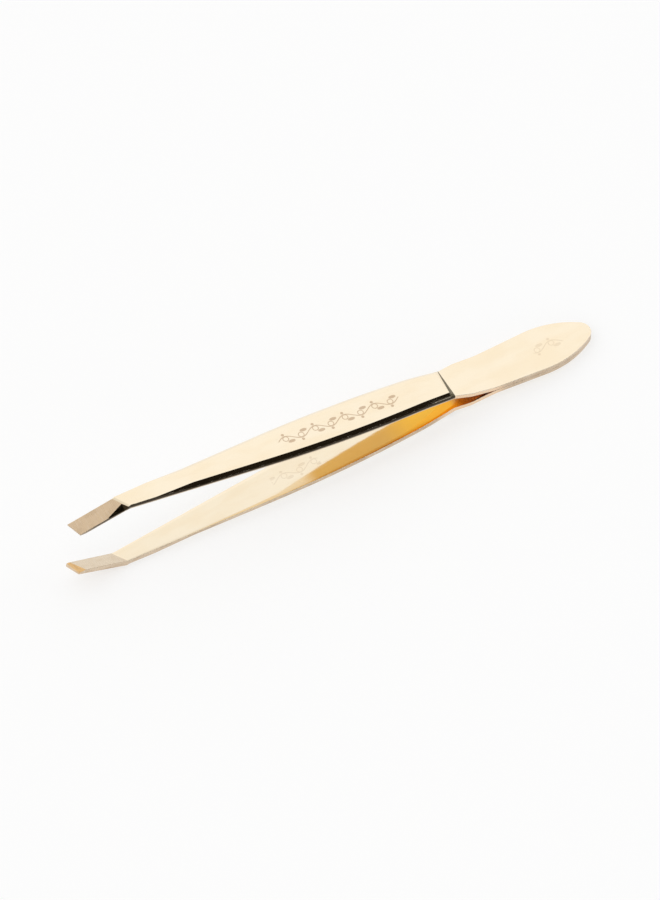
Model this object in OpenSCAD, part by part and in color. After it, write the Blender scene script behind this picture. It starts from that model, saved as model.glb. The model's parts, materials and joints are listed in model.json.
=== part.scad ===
/* [Handle] */
// Thickness of the strip in the handle and the neck
leaf_t = 0.76; // [0.6:0.02:0.9]
// Length of the welded handle, from the line where the two arms part
handle_len = 19.2; // [16:0.2:24]
// Greatest width of the paddle
paddle_w = 8.15; // [7:0.05:10]
// Distance of the greatest width from the parting line
paddle_at = 9.8; // [8:0.1:11]
// Radius of the rounded end of the handle
nose_r = 1.9; // [1.5:0.1:2.5]
// Angle at which each long side of the handle narrows towards the neck
flare_angle = 2.9; // [2:0.1:3.5]

/* [Neck] */
// Distance of the middle of the flexing neck from the parting line
flex_at = 3.8; // [3:0.1:4.2]
// Distance at which the handle sides turn in to the waist
shoulder_at = 4.3; // [4.2:0.1:5]
// Angle between the neck and the mid-plane
neck_angle = 9.5; // [9:0.1:10]
// Distance of the step up to the thick grip from the parting line
step_at = 7.2; // [7:0.1:7.6]
// Length of the sloped face of that step
step_run = 0.9; // [0.6:0.1:1.2]

/* [Grip] */
// Distance at which the neck angle gives way to the grip angle
bend_at = 12.6; // [12:0.1:14]
// Angle between the inner face of the grip and the mid-plane
grip_angle = 5; // [4.6:0.05:5.8]
// Greatest width of the grip
belly_w = 6.8; // [6:0.1:7.5]
// Distance of the greatest width of the grip from the parting line
belly_at = 25; // [23:0.5:27]
// Radius of the bowed sides of the grip, seen from above
belly_r = 255; // [240:5:300]
// Angle at which each long side then narrows towards the tip
taper_angle = 3.6; // [3.4:0.1:3.8]
// Thickness of the grip at its raised top, at the neck end
grip_t = 1.3; // [1.25:0.05:1.5]
// Width of the sloped bevel along both long edges
bevel_w = 0.65; // [0.4:0.05:0.8]
// Depth of that bevel
bevel_d = 0.5; // [0.3:0.05:0.6]
// Distance at which the bevel runs out, towards the tip
bevel_end_at = 61.5; // [58:0.5:61.5]
// Angle at which it runs out
runout_angle = 5; // [4:0.5:8]
// Distance at which the raised face is eased away towards the claw
ease_at = 62; // [61.5:0.5:63]
// Depth of that easing where the claw begins
ease_d = 0.06; // [0.04:0.01:0.1]

/* [Claw tip] */
// Distance of the bend of the claw from the parting line
claw_at = 66.2; // [64:0.2:68]
// Angle through which the claw is bent inwards
claw_bend = 23; // [18:0.5:26]
// Slant of the bend line, seen from above
bend_slant = 30; // [15:1:33]
// Thickness of the strip at the bend of the claw, before the easing
claw_t = 0.95; // [0.85:0.05:1]
// Length of the claw beyond its bend, measured on the flat strip
claw_len = 8.6; // [8:0.1:10]
// Slant of the tip end, seen from above
tip_slant = 19; // [10:1:25]
// Thickness at the tip end
tip_t = 0.7; // [0.5:0.05:0.8]
// Width of the tip end
tip_w = 2.6; // [2.2:0.1:3]
// Depth to which the gripping jaw is ground flat at the tip end
jaw_depth = 0.33; // [0.2:0.01:0.4]

/* [Motion and welds] */
// Clearance left between the two jaws when the arms are fully closed
jaw_clear = 0.04; // [0.02:0.01:0.1]
// Running clearance at the flex line of each neck
flex_clear = 0.05; // [0.03:0.01:0.1]
// Diameter of each spot weld
weld_d = 2.6; // [2:0.1:3]
// Depth of each spot weld into each leaf
weld_h = 0.25; // [0.15:0.05:0.4]
// Distances of the spot welds from the parting line
weld_at = [5, 12.5]; // [3:0.5:15]

/* [Hidden] */

gold = [0.93, 0.80, 0.56];
weld_grey = [0.55, 0.54, 0.52];
big = 300;                          // half-size of a block used as a half-space
round_fn = 96;                      // sides of the smaller circles
bend_ease = 0.03;                   // lift of the neck-side bevel, so that four faces don't meet in a point
arc_fn = 1440;                      // sides of the very large circles that bow the grip
seam_ease = 0.02;                   // keeps the rounded seam of the neck just inside the strip's faces
knuckle_ease = 0.03;                // keeps the round corner of the claw bend just inside the faces beside it
neck_lead = 1;                      // length of the neck outline drawn inside the grip

// Directions in the side view of the upper half: along the strip to the tips, and outwards
function along(a) = [-cos(a), sin(a)];
function outward(a) = [sin(a), cos(a)];
// Outer corner of a strip of thickness t whose inner face turns at p from angle a to angle b
function mitre(p, a, b, t) = p + t / cos((a - b) / 2) * outward((a + b) / 2);

crotch = [0, 0];
bend_in = crotch + bend_at / cos(neck_angle) * along(neck_angle);
crease_in = bend_in + (claw_at - bend_at) / cos(grip_angle) * along(grip_angle);
// The strip is drawn longer than it is, and then cut off at the slanted tip end
blank_len = claw_len + tip_w;
crease_t = claw_t - ease_d;
blank_t = crease_t + (tip_t - crease_t) * blank_len / claw_len;
tip_in = crease_in + blank_len * along(grip_angle);
step_low = crotch + step_at / cos(neck_angle) * along(neck_angle) + leaf_t * outward(neck_angle);
step_high = step_low + step_run * along(neck_angle) + (grip_t - leaf_t) * outward(neck_angle);
bend_out = mitre(bend_in, neck_angle, grip_angle, grip_t);
crease_out = crease_in + crease_t * outward(grip_angle);
tip_out = tip_in + blank_t * outward(grip_angle);

// Slope of the raised outer face, and of a line from its claw end to the handle end: the tweezers lie flat
// on the raised face, unless the handle end stands lower
face_end = crease_in + claw_t * outward(grip_angle);
face_angle = atan2(face_end[1] - bend_out[1], bend_out[0] - face_end[0]);
ease_out = bend_out + (ease_at + bend_out[0]) / cos(face_angle) * along(face_angle);
end_angle = atan2(ease_out[1] - leaf_t, handle_len - ease_out[0]);
rest_angle = min(face_angle, end_angle);

// Flex line of the neck, at half the thickness of the strip, and the radius of the rounded seam along it
flex_r = leaf_t / 2 - seam_ease;
flex = crotch + flex_at / cos(neck_angle) * along(neck_angle) + leaf_t / 2 * outward(neck_angle);

// Inner corner of the bent claw before the jaw is ground, and the turn that brings it to the mid-plane
claw_slope = atan(tan(claw_bend) * cos(bend_slant)) - grip_angle;
corner = crease_in + claw_len * along(-claw_slope);
reach = norm(corner - flex);
close_angle = atan2(corner[1] - flex[1], flex[0] - corner[0])
    - asin((jaw_clear / 2 - jaw_depth - flex[1]) / reach);

// Arcs of the paddle: a side arc that runs into the nose circle without a corner
nose_x = handle_len - nose_r;
paddle_r = (pow(nose_x - paddle_at, 2) + pow(paddle_w / 2, 2) - nose_r * nose_r) / (paddle_w - 2 * nose_r);
paddle_cy = paddle_r - paddle_w / 2;
nose_join_x = nose_x + nose_r * (nose_x - paddle_at) / (paddle_r - nose_r);
flare_x = paddle_at - paddle_r * sin(flare_angle);
flare_y = paddle_w / 2 - paddle_r * (1 - cos(flare_angle));
shoulder_y = flare_y - (flare_x + shoulder_at) * tan(flare_angle);

// Arc of the grip: it runs into the straight taper with a corner too slight to see
taper_kink = 1;                     // degrees
taper_lead = 6;                     // length of the taper drawn inside the arc
belly_cy = belly_r - belly_w / 2;
taper_x = -belly_at - belly_r * sin(taper_angle + taper_kink);
taper_y = belly_r * cos(taper_angle + taper_kink) - belly_cy;
taper_in_y = taper_y + taper_lead * tan(taper_angle);
waist_y = sqrt(belly_r * belly_r - pow(belly_at - step_at, 2)) - belly_cy;
neck_in_y = waist_y - neck_lead * (shoulder_y - waist_y) / (step_at - shoulder_at);
crease_y = taper_y - (taper_x + claw_at) * tan(taper_angle);

// Height of the mid-plane frame's origin at rest, and the middle of the resting length, which runs from
// the far outer corner of the lower tip to the end of the upper leaf
far_x = claw_at + claw_len;
rest_lift = ease_out[1] * cos(rest_angle) + ease_out[0] * sin(rest_angle);
tip_far = corner + tip_w / 2 * tan(tip_slant) * along(-claw_slope) + tip_t * outward(-claw_slope);
rest_left = tip_far[0] * cos(rest_angle) - tip_far[1] * sin(rest_angle);
rest_right = handle_len * cos(rest_angle) + leaf_t * sin(rest_angle);
span_mid = (rest_left + rest_right) / 2;

module both_sides() {
    children();
    mirror([0, 1, 0]) children();
}

// Seats the mid-plane frame on the table, with the middle of the length at the origin
module seated() {
    translate([-span_mid, 0, rest_lift]) rotate([0, rest_angle, 0]) children();
}

// ---- flat outlines seen from above ----

module lens(r, cy, x) {
    intersection() {
        translate([x, cy]) circle(r = r, $fn = arc_fn);
        translate([x, -cy]) circle(r = r, $fn = arc_fn);
    }
}

module paddle_outline() {
    intersection() {
        lens(paddle_r, paddle_cy, paddle_at);
        translate([flare_x, -paddle_w]) square([nose_join_x - flare_x, 2 * paddle_w]);
    }
    translate([nose_x, 0]) circle(r = nose_r, $fn = round_fn);
}

module neck_outline() {
    polygon([
        [flare_x, flare_y], [-shoulder_at, shoulder_y], [-step_at - neck_lead, neck_in_y],
        [-step_at - neck_lead, -neck_in_y], [-shoulder_at, -shoulder_y], [flare_x, -flare_y]
    ]);
}

module grip_outline() {
    intersection() {
        lens(belly_r, belly_cy, -belly_at);
        translate([taper_x - taper_lead, -belly_w])
            square([taper_lead - shoulder_at - taper_x, 2 * belly_w]);
    }
    lead_x = taper_x + taper_lead;
    polygon([[lead_x, taper_in_y], [-claw_at, crease_y], [-claw_at, -crease_y], [lead_x, -taper_in_y]]);
}

module claw_outline() {
    end_x = -claw_at - blank_len;
    polygon([[-claw_at, crease_y], [end_x, tip_w / 2], [end_x, -tip_w / 2], [-claw_at, -crease_y]]);
}

module strip_outline() {
    paddle_outline();
    neck_outline();
    grip_outline();
    claw_outline();
}

// ---- the strip of the upper half, in the mid-plane frame ----

// Side view swept across the width and trimmed to the outline
module strip(profile) {
    intersection() {
        rotate([90, 0, 0]) linear_extrude(height = 2 * paddle_w, center = true) polygon(profile);
        linear_extrude(height = 2 * far_x, center = true) strip_outline();
    }
}

module handle_leaf() {
    flex_in = flex - leaf_t / 2 * outward(neck_angle);
    flex_out = flex + leaf_t / 2 * outward(neck_angle);
    difference() {
        strip([
            [handle_len, 0], [handle_len, leaf_t], mitre(crotch, 0, neck_angle, leaf_t),
            flex_out, flex_in, crotch
        ]);
        translate([flex[0], 0, flex[1]]) rotate([90, 0, 0])
            cylinder(r = flex_r + flex_clear, h = 2 * paddle_w, center = true, $fn = round_fn);
        weld_pockets();
    }
}

module weld_pockets() {
    for (x = weld_at) translate([x, 0, 0])
        cylinder(d = weld_d, h = 2 * weld_h, center = true, $fn = round_fn);
}

// Unbent arm: the step, the grip and the claw still in line, with square edges
module arm_blank() {
    flex_in = flex - leaf_t / 2 * outward(neck_angle);
    flex_out = flex + leaf_t / 2 * outward(neck_angle);
    strip([
        flex_in, flex_out, step_low, step_high, bend_out, ease_out, crease_out,
        tip_out, tip_in, crease_in, bend_in
    ]);
    intersection() {
        translate([flex[0], 0, flex[1]]) rotate([90, 0, 0])
            cylinder(r = flex_r, h = 2 * paddle_w, center = true, $fn = round_fn);
        linear_extrude(height = 2 * paddle_w, center = true) neck_outline();
    }
}

// Places children at the outer end of the neck bend, with x along a face of slope a and z outwards
module on_face(a) {
    translate([bend_out[0], 0, bend_out[1]]) rotate([0, a, 0]) children();
}

// Section of what a bevel takes away: all above its slope, which crosses the raised face at the origin
module bevel_section(w) {
    drop = w * bevel_d / bevel_w;
    polygon([[-w, drop], [w, -drop], [w, drop]]);
}

// Places children at the centre of the arc that bows one edge of the grip
module at_belly_centre() {
    translate([-belly_at - bend_out[0], -belly_cy, 0]) children();
}

// What a bevel takes away along an edge that stays bowed all the way from the neck to the claw
module bowed_bevel() {
    neck_turn = asin((belly_at - shoulder_at) / belly_r);
    claw_turn = asin((claw_at - belly_at) / belly_r);
    at_belly_centre() rotate([0, 0, 90 - neck_turn])
        rotate_extrude(angle = neck_turn + claw_turn, $fn = arc_fn)
            translate([belly_r - bevel_w, 0]) bevel_section(4 * bevel_w);
}

// What a bevel takes away along the straight taper, where a second slope makes it run out before the claw
module tapered_bevel() {
    join = [taper_x - bend_out[0], taper_y, 0];
    run = (bevel_end_at + taper_x) / cos(taper_angle);
    translate(join) rotate([0, 0, 90 + taper_angle]) intersection() {
        translate([-bevel_w, -taper_lead, 0]) sweep(taper_lead + run) bevel_section(4 * bevel_w);
        translate([0, run, 0]) rotate([0, 0, runout_angle])
            translate([0, -2 * run, 0]) sweep(2 * run) bevel_section(8 * bevel_w);
    }
}

// Sweeps a flat section along +y
module sweep(len) {
    translate([0, len, 0]) rotate([90, 0, 0]) linear_extrude(height = len) children();
}

// Block that spans the width and depth of a grip between two distances from the neck bend
module slab(from, to) {
    translate([from, -paddle_w, -grip_t]) cube([to - from, 2 * paddle_w, 2 * grip_t]);
}

module bevelled_blank() {
    difference() {
        arm_blank();
        both_sides() {
            on_face(neck_angle) translate([0, 0, bend_ease]) intersection() {
                bowed_bevel();
                slab(-step_at, norm(step_low - bend_out));
            }
            on_face(face_angle) intersection() {
                bowed_bevel();
                union() {
                    tapered_bevel();
                    slab(taper_x - bend_out[0] + taper_lead / 2, belly_at);
                }
            }
        }
    }
}

// Places children on the slanted bend line of the claw, with y along it and z outwards
module on_crease() {
    translate([crease_in[0], 0, crease_in[1]]) rotate([0, grip_angle, 0]) rotate([0, 0, bend_slant]) children();
}

module from_crease() {
    rotate([0, 0, -bend_slant]) rotate([0, -grip_angle, 0]) translate([-crease_in[0], 0, -crease_in[1]]) children();
}

module half_space(side) {
    translate([side * big, 0, 0]) cube(2 * big, center = true);
}

// The part of the flat blank beyond the bend line, cut to the slanted tip end
module flat_claw() {
    intersection() {
        from_crease() bevelled_blank();
        half_space(-1);
        rotate([0, 0, tip_slant - bend_slant])
            translate([-claw_len * cos(tip_slant), -big, -big]) cube(2 * big);
    }
}

// Round outer corner of the bend
module claw_knuckle() {
    intersection() {
        rotate([90, 0, 0]) rotate([0, 0, 90])
            translate([0, 0, -belly_w / 2]) rotate_extrude(angle = claw_bend, $fn = round_fn)
                square([crease_t - knuckle_ease, belly_w]);
        from_crease() linear_extrude(height = 2 * far_x, center = true) strip_outline();
    }
}

// The arm bent at the claw, then the jaw ground flat to the mid-plane with the arm closed
module arm() {
    difference() {
        union() {
            difference() {
                bevelled_blank();
                on_crease() half_space(-1);
            }
            on_crease() claw_knuckle();
            on_crease() rotate([0, -claw_bend, 0]) flat_claw();
        }
        closed_to_rest() translate([-far_x, 0, jaw_clear / 2 - big / 2]) cube([claw_len, big, big], center = true);
    }
}

// Turns the upper half's closed pose back to its rest pose
module closed_to_rest() {
    translate([flex[0], 0, flex[1]]) rotate([0, close_angle, 0]) translate([-flex[0], 0, -flex[1]]) children();
}

// ---- the pieces ----

module upper_handle_leaf() {
    color(gold) seated() handle_leaf();
}

module lower_handle_leaf() {
    color(gold) seated() mirror([0, 0, 1]) handle_leaf();
}

module weld_nuggets() {
    color(weld_grey) seated() weld_pockets();
}

module upper_arm() {
    color(gold) seated() arm();
}

module lower_arm() {
    color(gold) seated() mirror([0, 0, 1]) arm();
}

upper_handle_leaf();
lower_handle_leaf();
weld_nuggets();
upper_arm();
lower_arm();
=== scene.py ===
import json
import math

import bmesh
import bpy
import numpy as np
from mathutils import Matrix, Vector

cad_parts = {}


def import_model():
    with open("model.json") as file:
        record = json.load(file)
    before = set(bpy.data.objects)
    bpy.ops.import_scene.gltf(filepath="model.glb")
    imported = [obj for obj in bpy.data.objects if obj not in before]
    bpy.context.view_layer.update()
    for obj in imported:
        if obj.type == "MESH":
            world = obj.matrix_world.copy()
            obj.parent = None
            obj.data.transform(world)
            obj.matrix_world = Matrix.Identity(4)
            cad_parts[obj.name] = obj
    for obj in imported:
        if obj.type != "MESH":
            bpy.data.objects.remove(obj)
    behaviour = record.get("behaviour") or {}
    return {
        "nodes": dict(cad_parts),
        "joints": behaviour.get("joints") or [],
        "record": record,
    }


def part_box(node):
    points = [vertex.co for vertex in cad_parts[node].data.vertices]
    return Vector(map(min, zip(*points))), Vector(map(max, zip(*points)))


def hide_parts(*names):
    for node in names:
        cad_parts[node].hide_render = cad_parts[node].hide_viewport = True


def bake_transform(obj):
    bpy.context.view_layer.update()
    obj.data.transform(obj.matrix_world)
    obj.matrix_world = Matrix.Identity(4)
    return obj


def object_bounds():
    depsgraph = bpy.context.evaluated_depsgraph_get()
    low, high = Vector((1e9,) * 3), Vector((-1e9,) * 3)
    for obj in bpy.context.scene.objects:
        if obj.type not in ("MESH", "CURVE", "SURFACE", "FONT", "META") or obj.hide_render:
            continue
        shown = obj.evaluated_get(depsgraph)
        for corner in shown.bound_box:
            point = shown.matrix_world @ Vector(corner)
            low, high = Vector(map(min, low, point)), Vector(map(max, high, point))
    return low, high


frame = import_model()
CAD_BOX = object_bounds()

MM = 0.001

# ---- the frame: where the two halves part, and the plane between them ----

JOINT = {j["name"]: j for j in frame["joints"]}
PIVOT_UP = Vector(JOINT["upper_arm_flex"]["pos_m"])
PIVOT_LOW = Vector(JOINT["lower_arm_flex"]["pos_m"])
CLOSE_ANGLE = math.radians(JOINT["upper_arm_flex"]["range_deg"][1])
FACES = {m["name"]: Vector(m["pos_m"]) for m in frame["record"]["mounts"]}

MID_Z = (PIVOT_UP - PIVOT_LOW).normalized()
MID_Y = Vector((0, 1, 0))
MID_X = MID_Y.cross(MID_Z)
FLEX_Z = (PIVOT_UP - PIVOT_LOW).length / 2
LEAF_T = (FACES["handle_top_face"] - FACES["handle_bottom_face"]).length / 2

# ---- driving dimensions of one strip, in metres and radians ----

HANDLE_LEN = 19.2 * MM
PADDLE_W = 2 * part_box("upper_handle_leaf")[1].y
PADDLE_AT = 9.8 * MM
NOSE_R = 1.9 * MM
FLARE = math.radians(2.9)
SHOULDER_AT = 4.3 * MM
NECK = math.radians(9.5)
STEP_AT = 7.2 * MM
STEP_RUN = 0.9 * MM
BEND_AT = 12.6 * MM
GRIP = math.radians(5)
GRIP_T = 1.3 * MM
BELLY_W = 6.8 * MM
BELLY_AT = 25 * MM
BELLY_R = 255 * MM
TAPER = math.radians(3.6)
BEVEL_W = 0.65 * MM
BEVEL_D = 0.5 * MM
BEVEL_FADE_AT = 54.1 * MM
BEVEL_END_AT = 61.5 * MM
EASE_AT = 62 * MM
EASE_D = 0.06 * MM
CLAW_AT = 66.2 * MM
CLAW_BEND = math.radians(23)
BEND_SLANT = math.radians(30)
CLAW_T = 0.95 * MM
CLAW_LEN = 8.6 * MM
CLAW_R = 0.35 * MM                  # inner radius of the claw bend
TIP_SLANT = math.radians(19)
TIP_T = 0.7 * MM
TIP_W = 2.6 * MM
JAW_CLEAR = 0.02 * MM               # half the clearance between the closed jaws
RELIEF_W = 1.05 * MM                # width of the facet ground on the near edge of the claw, at the bend
RELIEF_D = 0.55 * MM                # its depth there
RELIEF_LEN = 3.3 * MM               # how far it runs out beyond the bend
RELIEF_LEAD = 0.8 * MM              # how far before the bend it begins
EDGE_R = 0.07 * MM                  # rounding of the long edges
RIDGE_R = 0.05 * MM                 # rounding of the ridge between face and bevel
EDGE_CUT = 0.05 * MM                # chamfer of the long edges where there is no bevel
SLANT_RUN = 12 * MM                 # length over which the cross rows turn from square to the bend's slant
SLANT_REST = 2 * MM                 # and how far before the bend they have turned
LEAN_RUN = 4 * MM                   # length of claw over which the rows lean until the tip end is square
PARTING_EASE = 1.0 * MM             # easing of the side section's corners
BEND_EASE = 1.6 * MM
STEP_EASES = [0.06 * MM, 0.05 * MM]
CLAW_EASES = [0.8 * MM, 0.5 * MM]

FLEX_AT = (FLEX_Z - LEAF_T / 2 * math.cos(NECK)) / math.tan(NECK)
FLEX_X = -FLEX_AT + LEAF_T / 2 * math.sin(NECK)
CROTCH = (PIVOT_UP + PIVOT_LOW) / 2 - FLEX_X * MID_X
TO_ROW = Matrix.Translation(CROTCH) @ Matrix((MID_X, MID_Y, MID_Z)).transposed().to_4x4()


# ---- side section of the upper strip, in the plane across the parting plane ----

def along(angle):
    return np.array([-math.cos(angle), math.sin(angle)])


def outward(angle):
    return np.array([math.sin(angle), math.cos(angle)])


def mitre(point, a, b, thickness):
    return point + thickness / math.cos((a - b) / 2) * outward((a + b) / 2)


ORIGIN = np.zeros(2)
BEND_IN = BEND_AT / math.cos(NECK) * along(NECK)
CREASE_IN = BEND_IN + (CLAW_AT - BEND_AT) / math.cos(GRIP) * along(GRIP)
BLANK_LEN = CLAW_LEN + TIP_W        # the blank is longer than the claw, which is cut off at the slant
CREASE_T = CLAW_T - EASE_D
BLANK_T = CREASE_T + (TIP_T - CREASE_T) * BLANK_LEN / CLAW_LEN
TIP_IN = CREASE_IN + BLANK_LEN * along(GRIP)
STEP_LOW = STEP_AT / math.cos(NECK) * along(NECK) + LEAF_T * outward(NECK)
STEP_HIGH = STEP_LOW + STEP_RUN * along(NECK) + (GRIP_T - LEAF_T) * outward(NECK)
BEND_OUT = mitre(BEND_IN, NECK, GRIP, GRIP_T)
CREASE_OUT = CREASE_IN + CREASE_T * outward(GRIP)
FACE_END = CREASE_IN + CLAW_T * outward(GRIP)
EASE_OUT = BEND_OUT + (EASE_AT + BEND_OUT[0]) / (CLAW_AT + BEND_OUT[0]) * (FACE_END - BEND_OUT)
TIP_OUT = TIP_IN + BLANK_T * outward(GRIP)


def polyline(corners, eases):
    """Height over x along a line through the corners, with each inner corner eased over its own length."""
    xs = np.array([c[0] for c in corners])
    zs = np.array([c[1] for c in corners])
    slopes = np.diff(zs) / np.diff(xs)

    def height(x):
        x = np.asarray(x, float)
        z = zs[0] + slopes[0] * (x - xs[0])
        for i, ease in enumerate(eases):
            turn = slopes[i + 1] - slopes[i]
            past = xs[i + 1] - x
            ramp = np.where(past > ease, past, np.clip(past + ease, 0, None) ** 2 / (4 * ease))
            z = z - turn * ramp
        return z

    return height


inner_height = polyline(
    [(HANDLE_LEN, 0), ORIGIN, BEND_IN, TIP_IN],
    [PARTING_EASE, BEND_EASE])
RAISED = [BEND_OUT, EASE_OUT, CREASE_OUT, TIP_OUT]
RAISED_EASES = [BEND_EASE, *CLAW_EASES]
outer_height = polyline(
    [(HANDLE_LEN, LEAF_T), mitre(ORIGIN, 0, NECK, LEAF_T), STEP_LOW, STEP_HIGH, *RAISED],
    [PARTING_EASE, *STEP_EASES, *RAISED_EASES])
plateau_height = polyline([STEP_LOW + (GRIP_T - LEAF_T) * outward(NECK), *RAISED], RAISED_EASES)

# ---- outline of the strip, seen square on ----

NOSE_X = HANDLE_LEN - NOSE_R
PADDLE_R = ((NOSE_X - PADDLE_AT) ** 2 + (PADDLE_W / 2) ** 2 - NOSE_R ** 2) / (PADDLE_W - 2 * NOSE_R)
NOSE_JOIN = math.acos((NOSE_X - PADDLE_AT) / (PADDLE_R - NOSE_R))
FLARE_X = PADDLE_AT - PADDLE_R * math.sin(FLARE)
FLARE_Y = PADDLE_W / 2 - PADDLE_R * (1 - math.cos(FLARE))
SHOULDER_Y = FLARE_Y - (FLARE_X + SHOULDER_AT) * math.tan(FLARE)
BELLY_CY = BELLY_R - BELLY_W / 2
TAPER_X = -BELLY_AT - BELLY_R * math.sin(TAPER)
TAPER_Y = BELLY_R * math.cos(TAPER) - BELLY_CY
WAIST_Y = math.sqrt(BELLY_R ** 2 - (BELLY_AT - STEP_AT) ** 2) - BELLY_CY
CREASE_Y = TAPER_Y - (TAPER_X + CLAW_AT) * math.tan(TAPER)
TIP_X = -CLAW_AT - CLAW_LEN * math.cos(GRIP)


def half_width(x):
    """Half the width of the strip at x, up to where the nose circle begins."""
    if x > FLARE_X:
        return math.sqrt(PADDLE_R ** 2 - (x - PADDLE_AT) ** 2) - PADDLE_R + PADDLE_W / 2
    if x > -SHOULDER_AT:
        return FLARE_Y + (x - FLARE_X) * math.tan(FLARE)
    if x > -STEP_AT:
        return WAIST_Y + (x + STEP_AT) * (SHOULDER_Y - WAIST_Y) / (STEP_AT - SHOULDER_AT)
    if x > TAPER_X:
        return math.sqrt(BELLY_R ** 2 - (x + BELLY_AT) ** 2) - BELLY_CY
    if x > -CLAW_AT:
        return TAPER_Y - (TAPER_X - x) * math.tan(TAPER)
    return CREASE_Y - (-CLAW_AT - x) * (CREASE_Y - TIP_W / 2) / BLANK_LEN


def slant_at(x):
    """Slant of the cross rows: square until the taper ends, along the bend line, then along the tip end."""
    if x > -CLAW_AT:
        return BEND_SLANT * np.clip((-CLAW_AT + SLANT_REST + SLANT_RUN - x) / SLANT_RUN, 0, 1)
    return BEND_SLANT + (TIP_SLANT - BEND_SLANT) * (-CLAW_AT - x) / (-CLAW_AT - TIP_X)


EDGE_ROUNDS = 12                    # of the search for the point where a slanted row meets the side
NOSE_ROWS = 25
NOSE_START = 0.02                   # turn of the first row round the nose, in radians


def edge_point(x, side):
    """Where the cross row through x on the centre line meets one long side, and which way is out there."""
    skew = math.tan(slant_at(x))
    at = x
    for _ in range(EDGE_ROUNDS):
        at = x - side * half_width(at) * skew
    step = 0.05 * MM                # over which the slope of the side is measured
    slope = (half_width(at + step) - half_width(at - step)) / (2 * step)
    size = math.hypot(slope, 1)
    return np.array([at, side * half_width(at)]), np.array([-slope, side]) / size


def nose_point(turn, side):
    out = np.array([math.cos(turn), side * math.sin(turn)])
    return np.array([NOSE_X, 0]) + NOSE_R * out, out


def spaced(a, b, step):
    return list(np.linspace(a, b, max(2, int(round(abs(b - a) / step)) + 1)))


def stations():
    """Cross rows from the nose to the tip, closer together where the section changes."""
    rows = []
    for turn in np.linspace(NOSE_START, NOSE_JOIN, NOSE_ROWS + 1)[:-1]:
        rows.append([nose_point(turn, 1), nose_point(turn, -1)])
    # where a spacing begins, and the spacing in millimetres
    breaks = [
        (NOSE_X + NOSE_R * math.cos(NOSE_JOIN), 0.45), (1.4 * MM, 0.25), (-1.6 * MM, 0.4),
        (STEP_LOW[0] + 0.2 * MM, 0.02), (STEP_HIGH[0] - 0.2 * MM, 0.4), (BEND_OUT[0] + 2 * MM, 0.3),
        (BEND_OUT[0] - 2 * MM, 0.6), (-BEVEL_FADE_AT, 0.4), (-CLAW_AT + 1.2 * MM, 0.06),
        (-CLAW_AT - 1.2 * MM, 0.25), (TIP_X + 0.6 * MM, 0.1), (TIP_X, 0.1),
    ]
    xs = []
    for (a, step), (b, _) in zip(breaks, breaks[1:]):
        xs += spaced(a, b, step * MM)[:-1]
    for x in xs + [TIP_X]:
        rows.append([edge_point(x, 1), edge_point(x, -1)])
    return rows


# ---- cross-section: a long edge from the outer face, over the bevel and the land, to the inner face ----

ARC = 4                             # points of each rounded corner


def rounded(corner, before, after, radius, count):
    """Points of a small arc that replaces a corner between two straight runs."""
    corner, before, after = (np.array(p, float) for p in (corner, before, after))
    a, b = before - corner, after - corner
    la, lb = np.linalg.norm(a), np.linalg.norm(b)
    a, b = a / la, b / lb
    half = math.acos(np.clip(a @ b, -1, 1)) / 2
    run = min(radius / math.tan(half), 0.45 * la, 0.45 * lb)
    r = run * math.tan(half)
    middle = (a + b) / np.linalg.norm(a + b)
    centre = corner + middle * r / math.sin(half)
    start, end = corner + a * run - centre, corner + b * run - centre
    span = math.acos(np.clip(start @ end / (r * r), -1, 1))
    points = []
    for k in range(count):
        w = k / (count - 1)
        spoke = math.sin((1 - w) * span) * start + math.sin(w * span) * end
        points.append(centre + spoke / math.sin(span))
    return points


def bevel_at(x, relieved):
    """Width and depth of the bevel at x, or of the facet ground on the claw; a thin chamfer elsewhere."""
    fade = np.clip((x + BEVEL_END_AT) / (BEVEL_END_AT - BEVEL_FADE_AT), 0, 1)
    rise = (outer_height(x) - (plateau_height(x) - BEVEL_D)) / BEVEL_D
    share = fade * np.clip(rise, 0, 1) if x < STEP_LOW[0] else 0
    relief = 0
    if relieved:
        begins = (-CLAW_AT + RELIEF_LEAD - x) / RELIEF_LEAD
        ends = (x + CLAW_AT + RELIEF_LEN) / RELIEF_LEN
        relief = np.clip(min(begins, ends), 0, 1)
    width = max(BEVEL_W * share, RELIEF_W * relief, EDGE_CUT)
    return width, max(BEVEL_D * share, RELIEF_D * relief, EDGE_CUT)


def edge_section(x, relieved):
    """(inset, height below the outer face or above the inner face, which) along one long edge."""
    thick = float(outer_height(x) - inner_height(x))
    width, depth = bevel_at(x, relieved)
    far = 3 * width + 10 * EDGE_R
    ridge = rounded((width, thick), (far, thick), (0, thick - depth), RIDGE_R, ARC)
    brow = rounded((0, thick - depth), (width, thick), (0, 0), EDGE_R, ARC)
    foot = rounded((0, 0), (0, thick - depth), (far, 0), EDGE_R, ARC)
    upper = [(p[0], thick - p[1], True) for p in ridge + brow]
    lower = [(p[0], p[1], False) for p in foot]
    return upper + lower


CROSS = 10                          # columns across each wide face
RINGS = 3 * ARC                     # points of one edge section


def to_height(x, drop, outer):
    return outer_height(x) - drop if outer else inner_height(x) + drop


def section_ring(row, relieved):
    """Closed ring of points around the strip at one cross row, from the far side's outer ridge."""
    sides = []
    for (point, normal), side in zip(row, (1, -1)):
        points = []
        for inset, drop, outer in edge_section(min(point[0], HANDLE_LEN), relieved and side < 0):
            x, y = point - inset * normal
            points.append((x, y, float(to_height(x, drop, outer))))
        sides.append(points)
    left, right = (np.array(p) for p in sides)
    ring = list(left)
    ring += across(left[-1], right[-1], inner_height)
    ring += list(right[::-1])
    ring += across(right[0], left[0], outer_height)
    return np.array(ring)


def across(a, b, height):
    points = []
    for k in range(1, CROSS):
        x, y, _ = a + (b - a) * k / CROSS
        points.append((x, y, float(height(x))))
    return points


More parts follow.
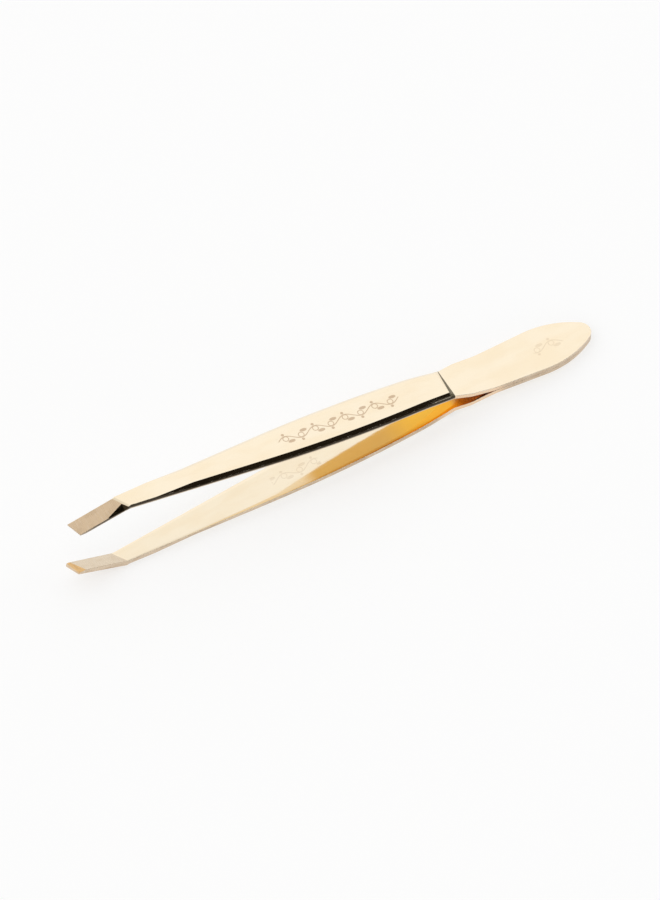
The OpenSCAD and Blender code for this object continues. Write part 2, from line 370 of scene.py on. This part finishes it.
def tip_lean(points):
    """Leans the rows near the tip, so that the tip end is square to the faces."""
    share = np.clip((-CLAW_AT - points[:, 0]) / LEAN_RUN, 0, 1)
    points[:, 0] += (points[:, 2] - inner_height(points[:, 0])) * math.tan(GRIP) * share
    return points


def bend_claw(points):
    """Bends the strip inwards about the slanted line, with a small inner radius."""
    face_x = np.array([math.cos(GRIP), 0, -math.sin(GRIP)])
    face_z = np.array([math.sin(GRIP), 0, math.cos(GRIP)])
    side = np.array([0.0, 1.0, 0.0])
    across_bend = math.cos(BEND_SLANT) * face_x + math.sin(BEND_SLANT) * side
    along_bend = math.cos(BEND_SLANT) * side - math.sin(BEND_SLANT) * face_x
    start = np.array([CREASE_IN[0], 0, CREASE_IN[1]])
    p = points - start
    u, v, h = -(p @ across_bend), p @ along_bend, p @ face_z
    lead = CLAW_R * math.tan(CLAW_BEND / 2)
    turn = CLAW_BEND * np.clip((u + lead) / (2 * lead), 0, 1)
    curved_u = -lead + (CLAW_R + h) * np.sin(turn)
    curved_h = -CLAW_R + (CLAW_R + h) * np.cos(turn)
    past = u > lead
    before = u < -lead
    turned_u = u * math.cos(CLAW_BEND) + h * math.sin(CLAW_BEND)
    turned_h = h * math.cos(CLAW_BEND) - u * math.sin(CLAW_BEND)
    new_u = np.where(past, turned_u, np.where(before, u, curved_u))
    new_h = np.where(past, turned_h, np.where(before, h, curved_h))
    return start - np.outer(new_u, across_bend) + np.outer(v, along_bend) + np.outer(new_h, face_z)


PLATE, LAND, GROUND, JAW, PAINTED_STEP_SHADE, PAINTED_DARK_EDGE = range(6)


def strip_mesh(name, flip):
    rows = stations()
    rings = [section_ring(row, not flip) for row in rows]
    count = len(rings[0])
    blank = np.concatenate(rings)
    points = bend_claw(tip_lean(blank.copy()))
    if flip:
        points[:, 2] *= -1
    mesh = bpy.data.meshes.new(name)
    faces, kinds = [], []
    crease = next(i for i, row in enumerate(rows) if mean_x(row) < -CLAW_AT)
    for i in range(len(rings) - 1):
        for k in range(count):
            n = (k + 1) % count
            faces.append((i * count + k, i * count + n, (i + 1) * count + n, (i + 1) * count + k))
            kinds.append(kind_of(k, mean_x(rows[i]), i >= crease, not flip))
    last = (len(rings) - 1) * count
    faces.append(tuple(range(last, last + count)))
    kinds.append(GROUND)
    faces.append(tuple(range(count))[::-1])
    kinds.append(LAND)
    if flip:
        faces = [f[::-1] for f in faces]
    mesh.from_pydata([TO_ROW @ Vector(p) for p in points], [], faces)
    mesh.polygons.foreach_set("material_index", kinds)
    store_places(mesh, blank)
    return mesh


def mean_x(row):
    return (row[0][0][0] + row[1][0][0]) / 2


def kind_of(k, x, claw, relieved):
    """Which finish the band of faces after ring point k has; k runs from the outer face's far edge."""
    bevel_to, land_from, land_to = ARC, 2 * ARC - 2, 2 * ARC + 1
    near = 2 * RINGS + CROSS - 3 - k
    # painted dark reflection on the upper arm's near bevel and land past the step, and on its claw's relief
    # facet
    if relieved and bevel_to <= near < land_to and x < STEP_LOW[0]:
        return PAINTED_DARK_EDGE
    if relieved and 0 <= near < land_from and -CLAW_AT - RELIEF_LEN < x < -CLAW_AT + RELIEF_LEAD:
        return PAINTED_DARK_EDGE
    if land_from <= k < land_to or land_from <= near < land_to:
        return LAND
    if claw:
        return GROUND
    # the step's sloped outer face gets painted shade
    outer = near < bevel_to or k < bevel_to
    return PAINTED_STEP_SHADE if outer and STEP_HIGH[0] < x <= STEP_LOW[0] else PLATE


def store_places(mesh, blank):
    """Keeps each point's place on the flat strip and its distance from the long edges, for materials."""
    place = blank.copy()
    place[:, 2] -= inner_height(place[:, 0])
    layer = mesh.attributes.new("blank", "FLOAT_VECTOR", "POINT")
    layer.data.foreach_set("vector", place.astype(np.float32).ravel())
    layer = mesh.attributes.new("rim", "FLOAT", "POINT")
    layer.data.foreach_set("value", [edge_distance(x, y) for x, y, _ in blank])


def edge_distance(x, y):
    if x > NOSE_X:
        return max(NOSE_R - math.hypot(x - NOSE_X, y), 0)
    return max(half_width(x) - abs(y), 0)


def grind_jaw(mesh, flip):
    """Cuts the gripping face flat where the two closed claws meet."""
    sign = -1 if flip else 1
    turn = Matrix.Rotation(sign * CLOSE_ANGLE, 3, "Y")
    pivot = PIVOT_LOW if flip else PIVOT_UP
    normal = turn @ (MID_Z * sign)
    in_plane = CROTCH + MID_Z * sign * JAW_CLEAR
    at = pivot + turn @ (in_plane - pivot)
    bm = bmesh.new()
    bm.from_mesh(mesh)
    claw = TO_ROW @ Vector((-CLAW_AT - LEAN_RUN, 0, 0))
    near = [f for f in bm.faces if all((v.co - claw).dot(MID_X) < 0 for v in f.verts)]
    geometry = set(near)
    for f in near:
        geometry.update(f.edges)
        geometry.update(f.verts)
    cut = bmesh.ops.bisect_plane(
        bm, geom=list(geometry), dist=1e-8, plane_co=at, plane_no=normal, clear_inner=True)
    rim = [e for e in cut["geom_cut"] if isinstance(e, bmesh.types.BMEdge)]
    made = bmesh.ops.contextual_create(bm, geom=rim)
    for f in made["faces"]:
        f.material_index = JAW
        for e in f.edges:
            e.smooth = False
    bmesh.ops.recalc_face_normals(bm, faces=bm.faces)
    bm.to_mesh(mesh)
    bm.free()


def strip(name, flip, nodes, materials):
    mesh = strip_mesh(name, flip)
    grind_jaw(mesh, flip)
    mesh.validate()
    for m in materials:
        mesh.materials.append(m)
    mesh.shade_smooth()
    ob = bpy.data.objects.new(name, mesh)
    bpy.context.scene.collection.objects.link(ob)
    weigh = ob.modifiers.new("face_weight", "WEIGHTED_NORMAL")
    weigh.keep_sharp = True
    weigh.weight = 90
    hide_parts(*nodes)
    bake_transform(ob)


# ---- materials ----

class Graph:
    """Adds nodes to one tree. A value fed to an input is a number, a tuple or another node's output."""

    def __init__(self, tree):
        self.tree = tree

    def node(self, kind, **settings):
        made = self.tree.nodes.new(kind)
        for key, value in settings.items():
            setattr(made, key, value)
        return made

    def feed(self, socket, value):
        if isinstance(value, bpy.types.NodeSocket):
            self.tree.links.new(value, socket)
        else:
            socket.default_value = value

    def math(self, operation, *values):
        made = self.node("ShaderNodeMath", operation=operation)
        for socket, value in zip(made.inputs, values):
            self.feed(socket, value)
        return made.outputs[0]

    def vector(self, operation, a, b):
        made = self.node("ShaderNodeVectorMath", operation=operation)
        self.feed(made.inputs[0], a)
        self.feed(made.inputs[1], b)
        return made.outputs["Value" if operation == "DOT_PRODUCT" else "Vector"]

    def ramp(self, value, start, end, low=0.0, high=1.0):
        """Goes smoothly from low to high while the value goes from start to end."""
        made = self.node("ShaderNodeMapRange", interpolation_type="SMOOTHSTEP")
        names = ("Value", "From Min", "From Max", "To Min", "To Max")
        for name, v in zip(names, (value, start, end, low, high)):
            self.feed(made.inputs[name], v)
        return made.outputs["Result"]

    def mix(self, share, a, b):
        made = self.node("ShaderNodeMix", data_type="RGBA")
        for i, value in ((0, share), (6, a), (7, b)):
            self.feed(made.inputs[i], value)
        return made.outputs[2]

    def noise(self, place, waves, detail=2.0):
        """Noise between 0 and 1, with that many waves per millimetre along each axis."""
        made = self.node("ShaderNodeTexNoise")
        self.feed(made.inputs["Vector"], self.vector("MULTIPLY", place, waves))
        self.feed(made.inputs["Scale"], 1.0)
        self.feed(made.inputs["Detail"], detail)
        return made.outputs["Fac"]

    def bump(self, height, depth, normal=None):
        made = self.node("ShaderNodeBump")
        self.feed(made.inputs["Height"], height)
        self.feed(made.inputs["Distance"], depth)
        if normal is not None:
            self.feed(made.inputs["Normal"], normal)
        return made.outputs["Normal"]

    def strip_place(self):
        """Place on the flat strip in millimetres: along it, across it, and above its inner face."""
        made = self.node("ShaderNodeAttribute", attribute_name="blank")
        return self.vector("MULTIPLY", made.outputs["Vector"], (1 / MM, 1 / MM, 1 / MM))

    def split(self, place):
        made = self.node("ShaderNodeSeparateXYZ")
        self.feed(made.inputs[0], place)
        return tuple(made.outputs)

    def rim(self):
        """Distance from the nearest long edge, in millimetres."""
        made = self.node("ShaderNodeAttribute", attribute_name="rim")
        return self.math("MULTIPLY", made.outputs["Fac"], 1 / MM)


def shader(name, metallic):
    m = bpy.data.materials.new(name)
    m.use_nodes = True
    surface = m.node_tree.nodes["Principled BSDF"]
    surface.inputs["Metallic"].default_value = metallic
    return m, Graph(m.node_tree), surface.inputs


GOLD = (0.94, 0.825, 0.64, 1)
WARM_GOLD = (0.925, 0.79, 0.585, 1)
SHADED_INNER_GOLD = (0.77, 0.50, 0.17, 1)   # painted shade on the upper arm's inner face, out along the grip
REFLECTED_ORANGE_GOLD = (1.0, 0.63, 0.11, 1)    # and painted orange of reflections between the arms, deepest by the neck
THROAT_SHADE_GOLD = (0.70, 0.50, 0.33, 1)  # painted shade on both inner faces in the throat
WORN_GOLD = (0.80, 0.74, 0.66, 1)
ETCHED_GOLD = (0.46, 0.29, 0.17, 1)
EDGE_GOLD = (0.70, 0.57, 0.43, 1)
EDGE_DARK = (0.57, 0.44, 0.31, 1)
EDGE_WARM = (0.88, 0.66, 0.46, 1)   # of the edges along the neck
CLAW_OUTER = (0.74, 0.56, 0.38, 1)
CLAW_INNER = (0.72, 0.61, 0.47, 1)
CLAW_DARK = (0.50, 0.36, 0.22, 1)
JAW_GOLD = (0.80, 0.52, 0.24, 1)
JAW_DARK = (0.66, 0.42, 0.20, 1)
# painted shade on the step's sloped face, darkest away from its top
STEP_SHADE_DARK = (0.13, 0.11, 0.07, 1)
STEP_SHADE_PALE = (0.34, 0.29, 0.20, 1)
# painted dark reflection: a dark surround mirrored in the upper arm's near bevel, put into its colour
PAINTED_DARK_REFLECTION = (0.035, 0.024, 0.012, 1)
PAINTED_DARK_REFLECTION_PALE = (0.065, 0.05, 0.028, 1)
WELD_GREY = (0.50, 0.49, 0.47, 1)
WELD_BLUE = (0.30, 0.30, 0.38, 1)
WELD_STRAW = (0.62, 0.50, 0.30, 1)

# where the inner faces' painted shade and reflection change, in millimetres along the strip
SHADED_INNER_FROM = -33
REFLECTED_ORANGE_FROM = -19
REFLECTED_ORANGE_TO = -12
THROAT_SHADE_FROM = -7.5
THROAT_SHADE_TO = -5.5
NECK_EDGE = (-9.5, 1.0)             # where the edges are warmer
STEP_SHADE_SKEW = 0.13                  # the painted shade band on the step narrows by this much per length across it
VINE_BAY = 2.7                      # length of one bay of the etched vine, half a wave of its stem
VINE_LINE = 0.075                   # half the width of its lines
VINE_EASE = 0.15                    # length over which it fades at its ends
GRIP_VINE = (-37.8, -15.9)          # where it runs on the grip and on the handle
HANDLE_VINE = (8.6, 14.0)
INNER_VINE = (-38.7, -30.2)         # and on the inner face of the lower grip


def vine(g, along_strip, across_strip):
    """Mask of an etched running vine: a waving stem with a curl, a leaf and a berry in each bay."""
    bays = g.math("DIVIDE", along_strip, VINE_BAY)
    u = g.math("MULTIPLY", g.math("SUBTRACT", g.math("FRACT", bays), 0.5), VINE_BAY)
    side = g.math("SIGN", g.math("SINE", g.math("MULTIPLY", bays, math.pi)))
    v = g.math("MULTIPLY", across_strip, side)
    crest = g.math("MULTIPLY", g.math("COSINE", g.math("MULTIPLY", u, math.pi / VINE_BAY)), 0.62)
    stem = g.math("ABSOLUTE", g.math("SUBTRACT", v, crest))
    curl = g.math("ABSOLUTE", g.math("SUBTRACT", radius(g, u, v, 0.0, 0.1, 1, 1), 0.46))
    line = g.math("MINIMUM", g.math("MULTIPLY", stem, 0.8), curl)
    leaf = radius(g, u, v, 0.75, -0.62, 0.28, 0.6)
    berry = radius(g, u, v, -0.1, 1.02, 0.7, 0.7)
    solid = g.math("SUBTRACT", g.math("MINIMUM", leaf, berry), 0.1)
    return g.ramp(g.math("MINIMUM", line, solid), VINE_LINE * 1.5, VINE_LINE * 0.6)


def radius(g, u, v, at_u, at_v, squeeze_u, squeeze_v):
    du = g.math("MULTIPLY", g.math("SUBTRACT", u, at_u), squeeze_u)
    dv = g.math("MULTIPLY", g.math("SUBTRACT", v, at_v), squeeze_v)
    return g.math("SQRT", g.math("ADD", g.math("MULTIPLY", du, du), g.math("MULTIPLY", dv, dv)))


def window(g, value, limits, ease):
    rise = g.ramp(value, limits[0] - ease, limits[0] + ease)
    return g.math("MULTIPLY", rise, g.ramp(value, limits[1] + ease, limits[1] - ease))


def etching(g, along_strip, across_strip, height, facing_down):
    """The vine on the outer faces of the grip and, fainter, of the handle and the lower inner face."""
    grip_face = g.ramp(height, 0.95, 1.0)
    handle_face = g.ramp(height, 0.65, 0.7, 0.0, 0.3)
    on_grip = g.math("MULTIPLY", window(g, along_strip, GRIP_VINE, VINE_EASE), grip_face)
    on_handle = g.math("MULTIPLY", window(g, along_strip, HANDLE_VINE, VINE_EASE), handle_face)
    where = g.math("MAXIMUM", on_grip, on_handle)
    if not facing_down:
        inner_face = g.ramp(height, 0.1, 0.05, 0.0, 0.28)
        on_inner = g.math("MULTIPLY", window(g, along_strip, INNER_VINE, VINE_EASE), inner_face)
        where = g.math("MAXIMUM", where, on_inner)
    return g.math("MULTIPLY", vine(g, along_strip, across_strip), where)


def plated_gold(name, facing_down):
    """Mirror-polished plating: long polishing lines, a faint orange peel, clouding and rubbed edges."""
    m, g, p = shader(name, 1.0)
    place = g.strip_place()
    x, y, height = g.split(place)
    cloud = g.noise(place, (0.14, 0.4, 0.4), 3.0)
    lines = g.noise(place, (0.12, 9.0, 9.0), 3.0)
    peel = g.noise(place, (0.7, 0.9, 0.9), 1.0)
    worn = g.ramp(g.noise(place, (1.1, 3.0, 3.0)), 0.42, 0.62)
    rubbed = g.math("MULTIPLY", g.ramp(g.rim(), 0.14, 0.02, 0.0, 0.7), worn)
    etched = etching(g, x, y, height, facing_down)
    color = g.mix(g.ramp(cloud, 0.35, 0.7), GOLD, WARM_GOLD)
    # inner faces take painted shade and a painted orange reflection
    color = g.mix(g.ramp(height, 0.3, 0.12), color, inner_painted_light(g, x, color, facing_down))
    color = g.mix(rubbed, color, WORN_GOLD)
    color = g.mix(g.math("MULTIPLY", etched, 0.6), color, ETCHED_GOLD)
    g.feed(p["Base Color"], color)
    rough = g.math("ADD", g.ramp(lines, 0.35, 0.75, 0.045, 0.12), g.ramp(cloud, 0.45, 0.75, 0.0, 0.03))
    dull = g.math("MULTIPLY", g.math("MAXIMUM", etched, rubbed), 0.4)
    g.feed(p["Roughness"], g.math("MAXIMUM", rough, dull))
    smooth = g.bump(peel, 1.2e-6)
    brushed = g.bump(lines, 0.15e-6, smooth)
    g.feed(p["Normal"], g.bump(etched, -6e-6, brushed))
    return m


def inner_painted_light(g, x, color, facing_down):
    """Colour of an inner face, with painted light: painted shade and a deep orange painted reflection on
    the one that faces down, painted brown shade in the throat of both.
    """
    if facing_down:
        deep = g.mix(g.ramp(x, REFLECTED_ORANGE_FROM, REFLECTED_ORANGE_TO), SHADED_INNER_GOLD, REFLECTED_ORANGE_GOLD)
        color = g.mix(g.ramp(x, SHADED_INNER_FROM, SHADED_INNER_FROM + 3), color, deep)
    return g.mix(g.ramp(x, THROAT_SHADE_FROM, THROAT_SHADE_TO), color, THROAT_SHADE_GOLD)


def edge_gold():
    """Sheared and ground edge of the strip, plated over its grinding lines."""
    m, g, p = shader("edge_gold", 1.0)
    place = g.strip_place()
    lines = g.noise(place, (5.5, 0.4, 0.5), 4.0)
    patches = g.noise(place, (0.35, 0.35, 1.6), 3.0)
    color = g.mix(g.ramp(patches, 0.35, 0.68), EDGE_GOLD, EDGE_DARK)
    color = g.mix(window(g, g.split(place)[0], NECK_EDGE, 1.5), color, EDGE_WARM)
    g.feed(p["Base Color"], g.mix(g.ramp(lines, 0.55, 0.8, 0.0, 0.5), color, WORN_GOLD))
    g.feed(p["Roughness"], g.ramp(lines, 0.3, 0.7, 0.2, 0.4))
    g.feed(p["Normal"], g.bump(lines, 3e-6))
    return m


def ground_gold():
    """Satin faces of the claws, with grinding lines across them."""
    m, g, p = shader("ground_gold", 1.0)
    place = g.strip_place()
    height = g.split(place)[2]
    lines = g.noise(place, (7.0, 0.5, 0.5), 4.0)
    patches = g.noise(place, (0.6, 0.9, 0.9), 3.0)
    base = g.mix(g.ramp(height, 0.2, 0.5), CLAW_INNER, CLAW_OUTER)
    base = g.mix(g.ramp(patches, 0.4, 0.8, 0.0, 0.35), base, CLAW_DARK)
    g.feed(p["Base Color"], g.mix(g.ramp(lines, 0.55, 0.8, 0.0, 0.4), base, WORN_GOLD))
    g.feed(p["Roughness"], g.ramp(lines, 0.3, 0.7, 0.24, 0.38))
    g.feed(p["Normal"], g.bump(lines, 2.5e-6))
    return m


def jaw_gold():
    """Gripping facet ground at the tip, with fine lines along its edge."""
    m, g, p = shader("jaw_gold", 1.0)
    place = g.strip_place()
    lines = g.noise(place, (1.0, 1.0, 14.0), 3.0)
    g.feed(p["Base Color"], g.mix(g.ramp(lines, 0.35, 0.7), JAW_GOLD, JAW_DARK))
    g.feed(p["Roughness"], g.ramp(lines, 0.3, 0.7, 0.25, 0.4))
    g.feed(p["Normal"], g.bump(lines, 1.5e-6))
    return m


def step_shade_gold():
    """Sloped face of the step: dull, with cutter lines along it, and painted shade that is dark over most
    of it and gives way to gold towards its top.
    """
    m, g, p = shader("step_shade_gold", 1.0)
    place = g.strip_place()
    lines = g.noise(place, (9.0, 0.5, 9.0), 3.0)
    x, y, _ = g.split(place)
    top = STEP_HIGH[0] / MM
    from_top = g.math("SUBTRACT", x, g.math("MULTIPLY", y, STEP_SHADE_SKEW))
    color = g.mix(g.ramp(lines, 0.4, 0.75), STEP_SHADE_DARK, STEP_SHADE_PALE)
    g.feed(p["Base Color"], g.mix(g.ramp(from_top, top + 0.32, top + 0.22), color, GOLD))
    g.feed(p["Roughness"], g.ramp(lines, 0.3, 0.7, 0.3, 0.45))
    g.feed(p["Normal"], g.bump(lines, 2e-6))
    return m


def painted_dark_edge_gold():
    """Painted dark reflection on the upper arm's near bevel, land and claw facet, with lines along it; it
    pales towards the inner face and near the tip.
    """
    m, g, p = shader("painted_dark_edge_gold", 1.0)
    place = g.strip_place()
    x, _, height = g.split(place)
    lines = g.noise(place, (0.5, 6.0, 6.0), 4.0)
    color = g.mix(g.ramp(lines, 0.45, 0.8), PAINTED_DARK_REFLECTION, PAINTED_DARK_REFLECTION_PALE)
    near_tip = g.ramp(x, TIP_X / MM + 4, TIP_X / MM, 0.0, 0.6)
    bare = g.math("MAXIMUM", g.ramp(height, 0.34, 0.1), near_tip)
    g.feed(p["Base Color"], g.mix(bare, color, EDGE_GOLD))
    g.feed(p["Roughness"], g.ramp(lines, 0.3, 0.7, 0.22, 0.4))
    g.feed(p["Normal"], g.bump(lines, 2e-6))
    return m


def weld_metal():
    """Bare nuggets with a grain and heat tints, sealed between the two strips."""
    m, g, p = shader("weld_metal", 1.0)
    made = g.node("ShaderNodeTexCoord")
    place = g.vector("MULTIPLY", made.outputs["Object"], (1 / MM, 1 / MM, 1 / MM))
    grain = g.noise(place, (6.0, 6.0, 6.0), 4.0)
    tint = g.noise(place, (0.5, 0.5, 0.5), 1.0)
    color = g.mix(g.ramp(tint, 0.35, 0.55), WELD_STRAW, WELD_GREY)
    g.feed(p["Base Color"], g.mix(g.ramp(tint, 0.55, 0.75), color, WELD_BLUE))
    g.feed(p["Roughness"], g.ramp(grain, 0.3, 0.7, 0.35, 0.6))
    g.feed(p["Normal"], g.bump(grain, 8e-6))
    return m


# ---- studio ----

SKY = 1.06                          # brightness of the soft box that fills most of the sky
SKY_TOP = 0.86
SKY_END = (-0.08, 0.215, 0.974)     # where the soft box is dimmer, nearly overhead
DARK_MIDDLE = (0.29, -0.65, 0.66)   # middle of the gap between the soft boxes, on the camera's side
DARK_LONG = 0.50                    # half its length and width, seen from the object
DARK_WIDE = 0.28
DARK = (0.012, 0.009, 0.006, 1)
FLOOR_SIZE = 0.6                    # half the side of the floor, in metres
FLOOR_GREY = 0.40
FLOOR_GLOW = 0.62


def world():
    """Pale soft light from all round, with a long dark gap on the side where the camera stands."""
    w = bpy.data.worlds.new("studio")
    bpy.context.scene.world = w
    w.use_nodes = True
    g = Graph(w.node_tree)
    direction = g.node("ShaderNodeTexCoord").outputs["Generated"]
    overhead = g.ramp(g.vector("DOT_PRODUCT", direction, SKY_END), 0.85, 0.97)
    color = g.mix(overhead, (SKY, SKY, SKY, 1), (SKY_TOP, SKY_TOP, SKY_TOP * 0.98, 1))
    middle = Vector(DARK_MIDDLE).normalized()
    level = Vector((0, 0, 1)).cross(middle).normalized()
    sideways = g.math("DIVIDE", g.vector("DOT_PRODUCT", direction, tuple(level)), DARK_LONG)
    upwards = g.math("DIVIDE", g.vector("DOT_PRODUCT", direction, tuple(middle.cross(level))), DARK_WIDE)
    off = g.math("SQRT", g.math("ADD", g.math("POWER", sideways, 2.0), g.math("POWER", upwards, 2.0)))
    ahead = g.ramp(g.vector("DOT_PRODUCT", direction, tuple(middle)), 0.3, 0.5)
    gap = g.math("MULTIPLY", ahead, g.ramp(off, 1.3, 1.0))
    color = g.mix(gap, color, DARK)
    back = w.node_tree.nodes["Background"].inputs
    g.feed(back["Color"], color)


def floor():
    """Pale matt floor that glows a little, so that shadows on it stay faint."""
    size = FLOOR_SIZE
    mesh = bpy.data.meshes.new("floor")
    corners = [(-size, -size, 0), (size, -size, 0), (size, size, 0), (-size, size, 0)]
    mesh.from_pydata(corners, [], [(0, 1, 2, 3)])
    ob = bpy.data.objects.new("floor", mesh)
    ob.location.z = CAD_BOX[0].z
    bpy.context.scene.collection.objects.link(ob)
    m, g, p = shader("floor", 0.0)
    p["Base Color"].default_value = (FLOOR_GREY, FLOOR_GREY, FLOOR_GREY, 1)
    p["Roughness"].default_value = 0.9
    p["Specular IOR Level"].default_value = 0.0
    p["Emission Color"].default_value = (1, 1, 1, 1)
    p["Emission Strength"].default_value = FLOOR_GLOW
    mesh.materials.append(m)


# ---- camera ----

VIEW_AZ = math.radians(-31.82)      # measured in the plane between the arms
VIEW_EL = math.radians(52.19)
VIEW_ROLL = math.radians(2.92)
VIEW_DISTANCE = 2.727
PICTURE_HEIGHT = 900                # in pixels; the picture is taller than wide
PIXELS_PER_METRE = 6302             # at that distance
WAIST_LEFT = 18.344 * MM            # how far the waist is to the right of the picture's middle
WAIST_UP = 9.282 * MM
SENSOR = 36


def camera():
    cos_e = math.cos(VIEW_EL)
    back = Vector((math.sin(VIEW_AZ) * cos_e, -math.cos(VIEW_AZ) * cos_e, math.sin(VIEW_EL)))
    flat = Vector((math.cos(VIEW_AZ), math.sin(VIEW_AZ), 0))
    rise = back.cross(flat)
    right = flat * math.cos(VIEW_ROLL) + rise * math.sin(VIEW_ROLL)
    up = back.cross(right)
    at = Vector((-STEP_AT, 0, 0)) + back * VIEW_DISTANCE - right * WAIST_LEFT - up * WAIST_UP
    data = bpy.data.cameras.new("camera")
    data.sensor_width = SENSOR
    data.lens = PIXELS_PER_METRE * SENSOR / PICTURE_HEIGHT * VIEW_DISTANCE
    data.clip_start, data.clip_end = 0.1, 20
    ob = bpy.data.objects.new("camera", data)
    turn = Matrix((right, up, back)).transposed().to_4x4()
    ob.matrix_world = TO_ROW @ Matrix.Translation(at) @ turn
    bpy.context.scene.collection.objects.link(ob)
    bpy.context.scene.camera = ob


finishes = [edge_gold(), ground_gold(), jaw_gold(), step_shade_gold(), painted_dark_edge_gold()]
upper_finishes = [plated_gold("upper_plating", True), *finishes]
lower_finishes = [plated_gold("lower_plating", False), *finishes]
strip("upper_strip", False, ["upper_handle_leaf", "upper_arm"], upper_finishes)
strip("lower_strip", True, ["lower_handle_leaf", "lower_arm"], lower_finishes)
frame["nodes"]["weld_nuggets"].material_slots[0].material = weld_metal()
floor()
world()
camera()
bpy.context.scene.view_settings.view_transform = "Standard"
